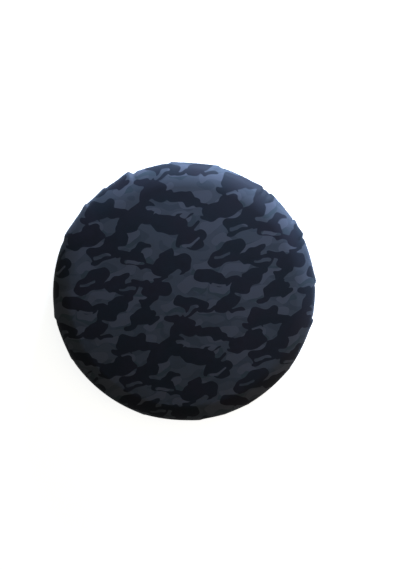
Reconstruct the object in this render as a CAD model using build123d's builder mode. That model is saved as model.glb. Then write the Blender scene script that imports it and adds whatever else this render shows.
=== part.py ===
"""A round spa cover: an air-filled insulating lid in a gathered cloth jacket, with four hold-down straps.

Frame: +Z up, origin at the middle of the flat underside, where the cover rests on the tub's rim.
All sizes are in millimetres.
"""

import math
import os

from build123d import *

# ---- Driving dimensions -------------------------------------------------------------------------

OUTER_RADIUS = 980.0  # half of a 1.96 m round tub
RIM_RADIUS = 100.0  # rounding of the lid's edge, above and below its widest line
BLEND_RADIUS = 300.0  # softer rounding between the rim and the nearly flat top
BLEND_START = 28.0  # slope, in degrees, where the rim arc gives way to the blend
CROWN_SLOPE = 3.2  # slope, in degrees, where the blend gives way to the domed top

CLOTH = 1.5  # jacket cloth with its backing
SHEET = 1.5  # vinyl sheet of the air core
EASE = 0.3  # space between the jacket and the core
SEAM_BELOW_RIM = 9.0  # the rim seam runs this far under the widest line
SEAM_TAPE = 1.3
SEAM_HALF_HEIGHT = 4.0

HEM_OUTER = 700.0  # the gathered hem, pulled in under the lid
HEM_WIDTH = 24.0
HEM_HEIGHT = 7.0
ELASTIC_WIDTH = 20.0
ELASTIC_HEIGHT = 3.0

UNDERSIDE_RISE = 12.0  # the core's underside stands this much higher inside the hem
STEP_RADIUS = 30.0
STEP_START = 703.0

PANELS = 4
JOIN_TAPE_ANGLE = 1.4
TIE_RINGS = {"inner": 200.0, "middle": 400.0, "outer": 620.0}
TIE_WEB = 1.2
TIE_ARC = 80.0  # each ring is four webs of this angle, so that air passes between them

VALVE_Y = -510.0
PORT_RADIUS = 11.0
NECK_RADIUS = 15.5
NECK_HEIGHT = 22.0
FLANGE_RADIUS = 32.0
FLANGE = 1.6
CAP_RADIUS = 17.0
CAP_THICKNESS = 3.0
CAP_PLUG_RADIUS = 10.7
CAP_PLUG_TIP_RADIUS = 9.6  # tapered, so that the plug can swing out of the port
CAP_PLUG_DEPTH = 6.0
CAP_SEAL = 0.8
HINGE_OFFSET = 21.0  # from the valve's axis to the cap's hinge pin
PIN_RADIUS = 1.0
PIN_CLEARANCE = 0.06
BARREL_RADIUS = 2.6
BARREL_LENGTH = 8.0
EAR = 2.5
FLAP_RADIUS = 13.5
FLAP = 1.2

STRAPS = 4
WEBBING = 1.4
STRAP_WIDTH = 25.0
STRAP_TOP = 88.0
STRAP_X = 982.0  # distance of the hanging webbing's middle from the cover's axis
LOOP_TOP = 72.0
BAR_Z = 52.0
BAR_RADIUS = 1.2
BAR_SLACK = 0.3
ANCHOR_ANGLE = 2.6
PLUG_WIDTH = 32.0
PLUG_THICKNESS = 6.0
PLUG_TOP = 56.0
PLUG_BLOCK_TOP = 47.5
PLUG_BLOCK_BOTTOM = 38.0
PLUG_TIP = 9.0

GAP = 0.05  # between pieces that lie on each other

# ---- Sizes that follow --------------------------------------------------------------------------

CORE_INSET = CLOTH + EASE
CAVITY_INSET = CORE_INSET + SHEET
SEAM_Z = RIM_RADIUS - SEAM_BELOW_RIM
CROWN_RISE = RIM_RADIUS * math.cos(math.radians(BLEND_START))
_blend_x = OUTER_RADIUS - RIM_RADIUS * (1 - math.sin(math.radians(BLEND_START)))
_crown_x = _blend_x - BLEND_RADIUS * (
    math.sin(math.radians(BLEND_START)) - math.sin(math.radians(CROWN_SLOPE))
)
CROWN_RADIUS = _crown_x / math.sin(math.radians(CROWN_SLOPE))
BIG = 2 * OUTER_RADIUS
SHEET_Z = CORE_INSET + UNDERSIDE_RISE  # the underside of the core, inside the hem
FLANGE_Z = SHEET_Z - GAP - FLANGE
BAR_X = STRAP_X + WEBBING / 2 + BAR_RADIUS + BAR_SLACK


def save(piece, name):
    """Labels a finished piece and writes its STEP file."""
    piece.part.label = name
    export_step(piece.part, f"parts/{name}.step")


def radial_plane(angle):
    """The upright plane through the cover's axis at an angle: its x points outwards and its y up."""
    a = math.radians(angle)
    return Plane(origin=(0, 0, 0), x_dir=(math.cos(a), math.sin(a), 0), z_dir=(math.sin(a), -math.cos(a), 0))


def facing_plane(angle, distance):
    """The upright plane square to the radius at an angle: its x runs along the rim and its y up."""
    a = math.radians(angle)
    return Plane(
        origin=(distance * math.cos(a), distance * math.sin(a), 0),
        x_dir=(-math.sin(a), math.cos(a), 0),
        z_dir=(math.cos(a), math.sin(a), 0),
    )


def lid_profile(inset, rise=0.0, mode=Mode.ADD):
    """Draws half of the lid's cross-section, moved inwards by inset, in the current sketch.

    With a rise, the underside inside the hem stands higher, joined by an S-shaped step.
    """
    flat_end = OUTER_RADIUS - RIM_RADIUS
    with BuildLine() as outline:
        if rise:
            turn = math.degrees(math.acos(1 - rise / (2 * STEP_RADIUS)))
            Line((0, inset + rise), (STEP_START, inset + rise))
            down = JernArc((STEP_START, inset + rise), (1, 0), STEP_RADIUS + inset, -turn)
            up = JernArc(down @ 1, down % 1, STEP_RADIUS - inset, turn)
            Line(up @ 1, (flat_end, inset))
        else:
            Line((0, inset), (flat_end, inset))
        rim = JernArc((flat_end, inset), (1, 0), RIM_RADIUS - inset, 180 - BLEND_START)
        blend = JernArc(rim @ 1, rim % 1, BLEND_RADIUS - inset, BLEND_START - CROWN_SLOPE)
        crown = JernArc(blend @ 1, blend % 1, CROWN_RADIUS - inset, CROWN_SLOPE)
        Line(crown @ 1, (0, inset + rise))
    make_face(outline.edges(), mode=mode)


def band(outer, inner, low, high, rise=0.0, r_min=0.0):
    """Draws the skin between two insets, kept between two heights and outside a radius."""
    lid_profile(outer, rise)
    lid_profile(inner, rise, mode=Mode.SUBTRACT)
    with Locations((r_min, low)):
        Rectangle(BIG, high - low, align=(Align.MIN, Align.MIN), mode=Mode.INTERSECT)


def ring(name, outer, inner, low, high, rise=0.0, start=0.0, arc=360.0, r_min=0.0):
    """A piece of skin turned about the cover's axis, from a start angle through an arc."""
    with BuildPart() as piece:
        with BuildSketch(radial_plane(start)):
            band(outer, inner, low, high, rise, r_min)
        revolve(axis=Axis.Z, revolution_arc=arc)
    save(piece, name)


# ---- Jacket -------------------------------------------------------------------------------------


def make_jacket():
    """The printed top, the four side panels that turn in underneath, and the tapes on their seams."""
    ring("top_panel", 0, CLOTH, SEAM_Z, BIG)
    arc = 360.0 / PANELS
    for i in range(PANELS):
        ring(f"side_panel_{i + 1}", 0, CLOTH, 0, SEAM_Z, start=i * arc, arc=arc, r_min=HEM_OUTER)
    ring("rim_seam", -SEAM_TAPE, -GAP, SEAM_Z - SEAM_HALF_HEIGHT, SEAM_Z + SEAM_HALF_HEIGHT)

    with BuildPart() as tapes:
        for i in range(PANELS):
            with BuildSketch(radial_plane(i * arc - JOIN_TAPE_ANGLE / 2)):
                band(-SEAM_TAPE, -GAP, RIM_RADIUS * 0.2, SEAM_Z - SEAM_HALF_HEIGHT - GAP, r_min=HEM_OUTER)
            revolve(axis=Axis.Z, revolution_arc=JOIN_TAPE_ANGLE)
    save(tapes, "side_join_tapes")


def make_hem():
    """The folded hem, the flat elastic that runs in it, and the blank care label sewn to its edge."""
    middle = (HEM_OUTER - HEM_WIDTH / 2, HEM_HEIGHT / 2)
    with BuildPart() as casing:
        with BuildSketch(Plane.XZ):
            with Locations(middle):
                RectangleRounded(HEM_WIDTH, HEM_HEIGHT, CLOTH * 0.8)
                Rectangle(HEM_WIDTH - 2 * CLOTH, HEM_HEIGHT - 2 * CLOTH, mode=Mode.SUBTRACT)
        revolve(axis=Axis.Z)
    save(casing, "hem_casing")

    with BuildPart() as elastic:
        with BuildSketch(Plane.XZ):
            with Locations(middle):
                Rectangle(ELASTIC_WIDTH, ELASTIC_HEIGHT)
        revolve(axis=Axis.Z)
    save(elastic, "hem_elastic")

    label_width, label_length, label_thickness, label_angle = 30.0, 40.0, 0.6, 246.0
    with BuildPart() as label:
        with BuildSketch(radial_plane(label_angle)):
            with Locations((HEM_OUTER - HEM_WIDTH - 2 * EASE, HEM_HEIGHT / 2)):
                Rectangle(label_length, label_thickness, align=(Align.MAX, Align.CENTER))
        extrude(amount=label_width / 2, both=True)
    save(label, "care_label")


# ---- Air core -----------------------------------------------------------------------------------


def make_core():
    """The two welded sheets of the air core, the tape on their joint, and the webs that hold it flat."""
    ring("air_top_sheet", CORE_INSET, CAVITY_INSET, RIM_RADIUS, BIG, rise=UNDERSIDE_RISE)
    with BuildPart() as bottom:
        with BuildSketch(Plane.XZ):
            band(CORE_INSET, CAVITY_INSET, 0, RIM_RADIUS, rise=UNDERSIDE_RISE)
        revolve(axis=Axis.Z)
        with Locations((0, VALVE_Y, SHEET_Z + SHEET)):
            Hole(NECK_RADIUS + EASE, depth=2 * SHEET)
    save(bottom, "air_bottom_sheet")
    tape, tape_half_height = 1.0, 12.0
    ring(
        "air_rim_tape",
        CAVITY_INSET + GAP,
        CAVITY_INSET + GAP + tape,
        RIM_RADIUS - tape_half_height,
        RIM_RADIUS + tape_half_height,
        rise=UNDERSIDE_RISE,
    )
    for name, radius in TIE_RINGS.items():
        with BuildPart() as webs:
            for i in range(4):
                with BuildSketch(radial_plane(90.0 * i + (90.0 - TIE_ARC) / 2)):
                    lid_profile(CAVITY_INSET + GAP, UNDERSIDE_RISE)
                    with Locations((radius, 0)):
                        Rectangle(TIE_WEB, BIG, mode=Mode.INTERSECT)
                revolve(axis=Axis.Z, revolution_arc=TIE_ARC)
        save(webs, f"tie_ring_{name}")


# ---- Valve --------------------------------------------------------------------------------------


def make_valve():
    """The welded valve on the underside: flange and neck, flap, and a cap hinged on a pin."""
    pin_y = VALVE_Y - HINGE_OFFSET
    cap_top = FLANGE_Z - GAP - CAP_SEAL
    pin_z = FLANGE_Z - 0.15 - BARREL_RADIUS
    ear_middle = BARREL_LENGTH / 2 + EAR / 2 + 0.2
    ear_half = 3.0

    with BuildPart() as base:
        with Locations((0, VALVE_Y, FLANGE_Z)):
            Cylinder(FLANGE_RADIUS, FLANGE, align=(Align.CENTER, Align.CENTER, Align.MIN))
            Cylinder(NECK_RADIUS, NECK_HEIGHT, align=(Align.CENTER, Align.CENTER, Align.MIN))
        for side in (-1, 1):
            with BuildSketch(Plane.YZ.offset(side * ear_middle)):
                with Locations((pin_y, pin_z)):
                    Circle(ear_half)
                    Rectangle(2 * ear_half, FLANGE_Z - pin_z, align=(Align.CENTER, Align.MIN))
                    Circle(PIN_RADIUS + PIN_CLEARANCE, mode=Mode.SUBTRACT)
            extrude(amount=EAR / 2, both=True)
        with Locations((0, VALVE_Y, FLANGE_Z + NECK_HEIGHT)):
            Hole(PORT_RADIUS, depth=NECK_HEIGHT)
    save(base, "valve_base")

    with BuildPart() as pin:
        with BuildSketch(Plane.YZ):
            with Locations((pin_y, pin_z)):
                Circle(PIN_RADIUS)
        extrude(amount=ear_middle + EAR / 2 + 0.5, both=True)
    save(pin, "cap_hinge_pin")

    with BuildPart() as cap:
        with Locations((0, VALVE_Y, cap_top)):
            Cylinder(CAP_RADIUS, CAP_THICKNESS, align=(Align.CENTER, Align.CENTER, Align.MAX))
            Cone(
                CAP_PLUG_RADIUS,
                CAP_PLUG_TIP_RADIUS,
                CAP_PLUG_DEPTH + CAP_SEAL,
                align=(Align.CENTER, Align.CENTER, Align.MIN),
            )
        fillet(cap.edges().group_by(Axis.Z)[0], 1.0)
        with BuildSketch(Plane.YZ):
            with Locations((pin_y, pin_z)):
                Circle(BARREL_RADIUS)
                Rectangle(HINGE_OFFSET - CAP_RADIUS + 2, 2 * BARREL_RADIUS, align=(Align.MIN, Align.CENTER))
                Circle(PIN_RADIUS + PIN_CLEARANCE, mode=Mode.SUBTRACT)
        extrude(amount=BARREL_LENGTH / 2, both=True)
        with BuildSketch(Plane.XY.offset(cap_top - CAP_THICKNESS)):
            with Locations((0, VALVE_Y + CAP_RADIUS)):
                SlotOverall(CAP_RADIUS, 5.0)
        extrude(amount=CAP_THICKNESS - 1.0)
    save(cap, "valve_cap")

    with BuildPart() as seal:
        with BuildSketch(Plane.XY.offset(cap_top + GAP / 2)):
            with Locations((0, VALVE_Y)):
                Circle(CAP_RADIUS - 2.5)
                Circle(CAP_PLUG_RADIUS + EASE, mode=Mode.SUBTRACT)
        extrude(amount=CAP_SEAL - GAP / 2)
    save(seal, "cap_seal")

    with BuildPart() as flap:
        with BuildSketch(Plane.XY.offset(FLANGE_Z + NECK_HEIGHT + GAP)):
            with Locations((0, VALVE_Y)):
                Circle(FLAP_RADIUS)
            with Locations((0, VALVE_Y - FLAP_RADIUS)):
                Rectangle(10.0, 4.0)
        extrude(amount=FLAP)
    save(flap, "check_flap")


# ---- Hold-down straps ---------------------------------------------------------------------------


def make_strap(number, angle):
    """One hold-down: the patch sewn to the side, the looped webbing, and the side-release plug."""
    ring(
        f"strap_anchor_{number}",
        -WEBBING - GAP,
        -GAP,
        LOOP_TOP - 12,
        SEAM_Z - SEAM_HALF_HEIGHT - GAP,
        start=angle - ANCHOR_ANGLE / 2,
        arc=ANCHOR_ANGLE,
        r_min=HEM_OUTER,
    )

    loop_inner = BAR_RADIUS + BAR_SLACK
    loop_outer = loop_inner + WEBBING
    with BuildPart() as strap:
        with BuildSketch(radial_plane(angle)):
            with Locations((BAR_X, (BAR_Z + LOOP_TOP) / 2)):
                SlotCenterToCenter(LOOP_TOP - BAR_Z, 2 * loop_outer, rotation=90)
            with Locations((STRAP_X, LOOP_TOP)):
                Rectangle(WEBBING, STRAP_TOP - LOOP_TOP, align=(Align.CENTER, Align.MIN))
            with Locations((STRAP_X, STRAP_TOP)):
                Circle(WEBBING / 2)
            with Locations((BAR_X, (BAR_Z + LOOP_TOP) / 2)):
                SlotCenterToCenter(LOOP_TOP - BAR_Z, 2 * loop_inner, rotation=90, mode=Mode.SUBTRACT)
        extrude(amount=STRAP_WIDTH / 2, both=True)
    save(strap, f"strap_{number}")

    make_plug(number, angle)


def make_plug(number, angle):
    """The plug half of a side-release buckle, with a bar for the webbing, a tongue and two prongs."""
    rail = 2.2
    window = PLUG_WIDTH - 2 * rail
    prong_root, prong_tip, prong_width, barb = 11.0, 12.0, 3.2, 3.4
    tongue = 5.0
    with BuildPart() as plug:
        with BuildSketch(facing_plane(angle, BAR_X)):
            with Locations((0, PLUG_BLOCK_BOTTOM)):
                Rectangle(PLUG_WIDTH, PLUG_TOP - PLUG_BLOCK_BOTTOM, align=(Align.CENTER, Align.MIN))
            with Locations((0, PLUG_BLOCK_TOP)):
                Rectangle(window, PLUG_TOP - PLUG_BLOCK_TOP, align=(Align.CENTER, Align.MIN), mode=Mode.SUBTRACT)
            with Locations((0, PLUG_BLOCK_BOTTOM)):
                Rectangle(tongue, PLUG_BLOCK_BOTTOM - PLUG_TIP - 4, align=(Align.CENTER, Align.MAX))
            for side in (-1, 1):
                with BuildLine():
                    Polyline(
                        (side * prong_root, PLUG_BLOCK_BOTTOM),
                        (side * (prong_root - prong_width), PLUG_BLOCK_BOTTOM),
                        (side * (prong_tip - prong_width), PLUG_TIP + 4),
                        (side * (prong_tip - 1.5), PLUG_TIP),
                        (side * (prong_tip + barb), PLUG_TIP + 9),
                        (side * (prong_tip + barb), PLUG_TIP + 13),
                        (side * prong_root, PLUG_TIP + 14),
                        close=True,
                    )
                make_face()
        extrude(amount=PLUG_THICKNESS / 2, both=True)
        fillet(plug.edges().filter_by(lambda e: e.is_interior is False).group_by(Axis.Z)[-1], 0.8)
        with BuildSketch(radial_plane(angle)):
            with Locations((BAR_X, BAR_Z)):
                Circle(BAR_RADIUS)
        extrude(amount=PLUG_WIDTH / 2 - rail / 2, both=True)
    save(plug, f"strap_plug_{number}")


def main():
    os.makedirs("parts", exist_ok=True)
    make_jacket()
    make_hem()
    make_core()
    make_valve()
    for i in range(STRAPS):
        make_strap(i + 1, 45.0 + 90.0 * i)


main()
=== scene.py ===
# %% [markdown]
# # A spa cover, made piece by piece
#
# A spa cover of this kind is an air-filled vinyl lid in a printed cloth jacket. The jacket's top is pulled
# flat, and its sides are gathered under the lid by an elastic hem. Each lesson below makes one piece: first
# a few sentences about the real thing and the choices, then the code.
#
# The sizes come from a fixed model of the same cover, in metres, with +Z up. Every new piece is built right
# where the fixed model says, and then rides on one of its bodies.

# %% Load the fixed model
import math
import random

import bmesh
import bpy
import numpy as np
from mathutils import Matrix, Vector, noise


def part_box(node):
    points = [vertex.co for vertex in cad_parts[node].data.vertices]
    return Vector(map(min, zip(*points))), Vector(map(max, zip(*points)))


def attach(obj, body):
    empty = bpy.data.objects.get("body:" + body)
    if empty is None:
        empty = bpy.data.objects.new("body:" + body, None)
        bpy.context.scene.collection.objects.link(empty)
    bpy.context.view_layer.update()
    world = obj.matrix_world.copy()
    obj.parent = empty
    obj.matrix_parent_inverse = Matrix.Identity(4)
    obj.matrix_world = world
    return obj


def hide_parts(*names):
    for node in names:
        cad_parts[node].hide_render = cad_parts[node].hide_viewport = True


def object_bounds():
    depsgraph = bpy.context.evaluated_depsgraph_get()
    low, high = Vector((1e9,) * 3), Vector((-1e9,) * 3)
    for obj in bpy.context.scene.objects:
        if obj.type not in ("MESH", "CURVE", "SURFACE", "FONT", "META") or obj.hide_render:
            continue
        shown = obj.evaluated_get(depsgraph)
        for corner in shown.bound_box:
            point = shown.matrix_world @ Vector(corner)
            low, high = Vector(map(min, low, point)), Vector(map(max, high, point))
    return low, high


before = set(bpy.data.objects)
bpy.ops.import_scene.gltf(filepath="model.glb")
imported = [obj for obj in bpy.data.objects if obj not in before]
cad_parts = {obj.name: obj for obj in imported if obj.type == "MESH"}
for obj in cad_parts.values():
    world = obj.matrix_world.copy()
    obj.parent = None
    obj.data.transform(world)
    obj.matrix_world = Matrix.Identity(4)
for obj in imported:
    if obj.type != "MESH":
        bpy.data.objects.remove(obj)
cad_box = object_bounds()
print("the fixed model's box:", [tuple(round(c, 3) for c in corner) for corner in cad_box])

# %% [markdown]
# ## Shader arithmetic
#
# A finish is mostly sums: how much print, how much weave, how much wear. Node graphs hide that, so one small
# class wraps an output socket and lets Python's own operators add the Math nodes. Colours and vectors need
# other nodes, because a Math node turns a colour grey. They go through `node`, which makes any node at all.


# %% Sockets that add, subtract and multiply
class Wire:
    """An output socket. Arithmetic on it adds one Math node each time."""

    def __init__(self, finish, socket):
        self.finish = finish
        self.socket = socket

    def math(self, operation, *values, clamp=False):
        """Adds a Math node of any operation on this socket and the values."""
        sockets = dict(enumerate((self, *values)))
        return self.finish.node("ShaderNodeMath", {"operation": operation, "use_clamp": clamp}, sockets)

    def __add__(self, other):
        return self.math("ADD", other)

    def __sub__(self, other):
        return self.math("SUBTRACT", other)

    def __rsub__(self, other):
        return self.finish.node("ShaderNodeMath", {"operation": "SUBTRACT"}, {0: other, 1: self})

    def __mul__(self, other):
        return self.math("MULTIPLY", other)

    __radd__ = __add__
    __rmul__ = __mul__


class Finish:
    """A material with one shader. Constants are set on the shader's own sockets."""

    def __init__(self, name, **constants):
        self.material = bpy.data.materials.new(name)
        self.material.use_nodes = True
        self.nodes = self.material.node_tree.nodes
        self.links = self.material.node_tree.links
        self.shader = self.nodes["Principled BSDF"]
        for socket, value in constants.items():
            self.set(socket.replace("_", " ").title().replace("Ior", "IOR"), value)

    def node(self, kind, settings=None, sockets=None, out=0):
        """Adds a node: its settings first, then the values or links of its sockets."""
        made = self.nodes.new(kind)
        for name, value in (settings or {}).items():
            setattr(made, name, value)
        for name, value in (sockets or {}).items():
            self.plug(made.inputs[name], value)
        return Wire(self, made.outputs[out])

    def plug(self, socket, value):
        """Links a wire to a socket, or sets the socket's value."""
        if isinstance(value, Wire):
            self.links.new(value.socket, socket)
        elif hasattr(value, "__len__") and len(value) == 3 and socket.type == "RGBA":
            socket.default_value = (*value, 1.0)
        else:
            socket.default_value = value

    def set(self, socket, value):
        """Sets or links one of the shader's sockets."""
        self.plug(self.shader.inputs[socket], value)

    def blended(self, factor, low, high):
        """A colour that goes from low to high as the factor goes from 0 to 1."""
        return self.node("ShaderNodeMix", {"data_type": "RGBA"}, {"Factor": factor, 6: low, 7: high}, out=2)

    def bumped(self, height, strength, distance, under=None):
        """Puts a height on the surface as a bump, on top of another bump if one is given."""
        sockets = {"Height": height, "Strength": strength, "Distance": distance}
        if under is not None:
            sockets["Normal"] = under
        return self.node("ShaderNodeBump", None, sockets)

    def flat_place(self):
        """Where a point lay on the flat cloth before sewing, in metres: the place, its x and its y."""
        place = self.node("ShaderNodeUVMap", {"uv_map": "cloth"})
        split = self.node("ShaderNodeSeparateXYZ", None, {0: place})
        return place, split, Wire(self, split.socket.node.outputs[1])

    def object_place(self):
        """A point's place on the object, in metres."""
        return self.node("ShaderNodeTexCoord", out=3)

    def grain(self, place, scale, detail=2.0):
        """Noise from 0 to 1 at a number of grains per metre."""
        sockets = {"Vector": place, "Scale": scale, "Detail": detail}
        return self.node("ShaderNodeTexNoise", None, sockets)

    def ripple(self, along, pitch):
        """A smooth wave from -1 to 1 that repeats every pitch metres."""
        return (along * (2 * math.pi / pitch)).math("SINE")


print("a wire and a finish: two classes for every material below")

# %% [markdown]
# ## Camera, light and floor
#
# The cover lies flat on the floor and the camera looks down at it, a little from the far side, so that the
# printed top fills the view. A wide blue light stands low beyond the top edge. It grazes the flat cloth and
# strikes the rounded rim full on, which is what makes the rim glow. Two weak warm lights, one low at the
# near side and one above, soften the blue. The sky is dim, and brighter on the far side. The floor is pale
# and shines a little by itself, like a light table, so that no shadow distracts. Just under it lies a dim
# glowing card that the camera cannot see, and that lights the lower rim from below.

# %% Camera
cover_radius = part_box("top_panel")[1][0]
top_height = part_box("top_panel")[1][2]
rim_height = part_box("air_bottom_sheet")[1][2]
look_tilt = math.radians(11.7)
look_distance = 3.4 * cover_radius

camera_data = bpy.data.cameras.new("camera")
camera_data.sensor_width = 36.0
camera_data.lens = 28.1
camera_data.shift_x = 0.028
camera_data.shift_y = 0.0233
camera = bpy.data.objects.new("camera", camera_data)
camera.location = (0, look_distance * math.sin(look_tilt), rim_height + look_distance * math.cos(look_tilt))
camera.rotation_euler = (-look_tilt, 0, 0)
bpy.context.scene.collection.objects.link(camera)
bpy.context.scene.camera = camera
bpy.context.scene.view_settings.view_transform = "Standard"
print("camera at", [round(c, 3) for c in camera.location])


# %% Lights
def panel_light(name, place, aim, size, power, colour):
    """A soft rectangular studio light that faces a point."""
    data = bpy.data.lights.new(name, "AREA")
    data.shape = "RECTANGLE"
    data.size, data.size_y = size
    data.energy = power
    data.color = colour
    light = bpy.data.objects.new(name, data)
    light.location = place
    light.rotation_euler = (Vector(aim) - Vector(place)).to_track_quat("-Z", "Y").to_euler()
    bpy.context.scene.collection.objects.link(light)


RIM_MIDDLE = (0, 0, 0.15)
TOP_MIDDLE = (0, 0, 0.2)
panel_light(
    "rim_light", place=(1.9, 4.15, 0.68), aim=RIM_MIDDLE,
    size=(3.0, 0.7), power=1250, colour=(0.52, 0.70, 1.0),
)
panel_light(
    "warm_light", place=(2.9, -1.7, 0.8), aim=RIM_MIDDLE,
    size=(2.0, 1.0), power=18, colour=(1.0, 0.88, 0.76),
)
panel_light(
    "top_light", place=(1.9, 1.3, 2.9), aim=TOP_MIDDLE,
    size=(3.0, 3.0), power=18, colour=(1.0, 0.75, 0.50),
)

# %% Sky
SKY_NEAR, SKY_FAR = 0.08, 0.385  # its brightness at the near and the far horizon
sky = bpy.data.worlds.new("studio")
sky.use_nodes = True
sky_nodes, sky_links = sky.node_tree.nodes, sky.node_tree.links
sky_nodes["Background"].inputs["Color"].default_value = (0.95, 1.0, 0.93, 1.0)
direction = sky_nodes.new("ShaderNodeTexCoord")
parts = sky_nodes.new("ShaderNodeSeparateXYZ")
strength = sky_nodes.new("ShaderNodeMapRange")
for title, value in {"From Min": -1.0, "From Max": 1.0, "To Min": SKY_NEAR, "To Max": SKY_FAR}.items():
    strength.inputs[title].default_value = value
sky_links.new(direction.outputs["Generated"], parts.inputs[0])
sky_links.new(parts.outputs["Y"], strength.inputs["Value"])
sky_links.new(strength.outputs["Result"], sky_nodes["Background"].inputs["Strength"])
bpy.context.scene.world = sky
print("three lights and a dim sky")

# %% Floor and bounce card
FLOOR_HALF = 30.0
FLOOR_GAP = 0.0005  # the floor lies this far under the cover, and the card this far under the floor
CARD_SCALE = 0.1
floor_finish = Finish("pale_floor", roughness=0.9)
floor_finish.set("Base Color", (0.8, 0.8, 0.8))
floor_finish.set("Emission Color", (1.0, 1.0, 1.0))
floor_finish.set("Emission Strength", 0.8)
floor_data = bpy.data.meshes.new("floor")
floor_corners = [(x * FLOOR_HALF, y * FLOOR_HALF, 0) for x, y in ((-1, -1), (1, -1), (1, 1), (-1, 1))]
floor_data.from_pydata(floor_corners, [], [(0, 1, 2, 3)])
floor_data.materials.append(floor_finish.material)
floor = bpy.data.objects.new("floor", floor_data)
floor.location.z = cad_box[0][2] - FLOOR_GAP
floor.visible_diffuse = False
floor.visible_glossy = False
bpy.context.scene.collection.objects.link(floor)

card_finish = Finish("bounce_card", roughness=0.9)
card_finish.set("Base Color", (0.5, 0.5, 0.5))
card_finish.set("Emission Color", (1.0, 0.97, 0.94))
card_finish.set("Emission Strength", 0.22)
card_data = floor_data.copy()
card_data.materials[0] = card_finish.material
card = bpy.data.objects.new("bounce_card", card_data)
card.scale = (CARD_SCALE, CARD_SCALE, 1)
card.location.z = floor.location.z - FLOOR_GAP
card.visible_camera = False
bpy.context.scene.collection.objects.link(card)
print("floor at", round(floor.location.z, 4))

# %% [markdown]
# ## The shape everything hangs on
#
# Cut the cover in half and its outline is a chain of arcs: a top that is all but flat, a soft shoulder, a
# round rim that turns under, and a flat underside as far as the hem. A chain of arcs is easy to walk: given
# a distance along the cloth, the slope at that point gives its place. Every cloth piece uses this walk, so
# their edges meet exactly.

# %% The outline as a walk along the cloth
SHOULDER_RADIUS = 0.300
RIM_RADIUS = 0.100
SHOULDER_SLOPE = math.radians(3.2)
RIM_SLOPE = math.radians(28.0)
HEM_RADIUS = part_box("hem_casing")[1][0]
seam_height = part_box("side_panel_1")[1][2]

shoulder_turn = math.sin(RIM_SLOPE) - math.sin(SHOULDER_SLOPE)
face_edge = cover_radius - RIM_RADIUS * (1 - math.sin(RIM_SLOPE)) - SHOULDER_RADIUS * shoulder_turn
face_radius = face_edge / math.sin(SHOULDER_SLOPE)
arcs = [
    (face_radius, 0.0, SHOULDER_SLOPE),
    (SHOULDER_RADIUS, SHOULDER_SLOPE, RIM_SLOPE),
    (RIM_RADIUS, RIM_SLOPE, math.pi),
]


def outline(along):
    """The radius, height and slope at distances along the cloth from the middle of the top."""
    along = np.asarray(along, dtype=float)
    radius, height, slope = np.zeros_like(along), np.zeros_like(along), np.zeros_like(along)
    start, r0, z0 = 0.0, 0.0, top_height
    for bend, slope0, slope1 in arcs:
        length = bend * (slope1 - slope0)
        here = along >= start - 1e-9
        turned = np.clip(slope0 + (along - start) / bend, slope0, slope1)
        radius = np.where(here, r0 + bend * (np.sin(turned) - math.sin(slope0)), radius)
        height = np.where(here, z0 + bend * (np.cos(turned) - math.cos(slope0)), height)
        slope = np.where(here, turned, slope)
        start += length
        r0 += bend * (math.sin(slope1) - math.sin(slope0))
        z0 += bend * (math.cos(slope1) - math.cos(slope0))
    radius = np.where(along > start, r0 - (along - start), radius)
    return radius, height, slope


shoulder_at = face_radius * SHOULDER_SLOPE
rim_at = shoulder_at + SHOULDER_RADIUS * (RIM_SLOPE - SHOULDER_SLOPE)
widest_at = rim_at + RIM_RADIUS * (math.pi / 2 - RIM_SLOPE)
seam_at = widest_at + RIM_RADIUS * math.asin((rim_height - seam_height) / RIM_RADIUS)
flat_at = widest_at + RIM_RADIUS * math.pi / 2
hem_at = flat_at + (cover_radius - RIM_RADIUS) - HEM_RADIUS
stations = (shoulder_at, rim_at, widest_at, seam_at, hem_at)
print("shoulder, rim, widest, seam, hem along the cloth:", [round(v, 4) for v in stations])


# %% Helpers for numbers and meshes
def ease(low, high, value):
    """0 below low, 1 above high, and a smooth ramp between."""
    t = np.clip((value - low) / (high - low), 0.0, 1.0)
    return t * t * (3 - 2 * t)


def wander(turn, count, seed):
    """A smooth random curve from -1 to 1 around the circle, with about count swings in a full turn."""
    maker = random.Random(seed)
    total = np.zeros_like(turn)
    for octave in range(4):
        swings = max(1, round(count * (0.7 + 0.2 * octave)))
        total = total + np.sin(swings * turn + maker.uniform(0, 2 * math.pi)) * maker.uniform(0.6, 1.0)
    return np.tanh(total * 0.55)


def mesh_piece(name, points, faces, finish, flat=None, values=None):
    """Makes an object from points and quads, with its flat cloth coordinates and painted values."""
    data = bpy.data.meshes.new(name)
    points = np.asarray(points, dtype=np.float32).reshape(-1, 3)
    faces = np.asarray(faces, dtype=np.int32)
    data.vertices.add(len(points))
    data.vertices.foreach_set("co", points.ravel())
    data.loops.add(faces.size)
    data.loops.foreach_set("vertex_index", faces.ravel())
    data.polygons.add(len(faces))
    data.polygons.foreach_set("loop_start", np.arange(0, faces.size, faces.shape[1], dtype=np.int32))
    data.update(calc_edges=True)
    data.polygons.foreach_set("use_smooth", np.full(len(faces), True))
    if flat is not None:
        layer = data.uv_layers.new(name="cloth")
        layer.data.foreach_set("uv", np.asarray(flat, dtype=np.float32)[faces.ravel()].ravel())
    for title, numbers in (values or {}).items():
        attribute = data.attributes.new(title, "FLOAT", "POINT")
        attribute.data.foreach_set("value", np.asarray(numbers, dtype=np.float32))
    data.materials.append(finish.material)
    piece = bpy.data.objects.new(name, data)
    bpy.context.scene.collection.objects.link(piece)
    return piece


def grid_faces(rows, columns, closed=False):
    """Quads between rows of points, joined round from last to first column if closed."""
    across = columns if closed else columns - 1
    i, j = np.meshgrid(np.arange(rows - 1), np.arange(across), indexing="ij")
    k = (j + 1) % columns
    corners = [i * columns + j, (i + 1) * columns + j, (i + 1) * columns + k, i * columns + k]
    return np.stack(corners, -1).reshape(-1, 4)


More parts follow.
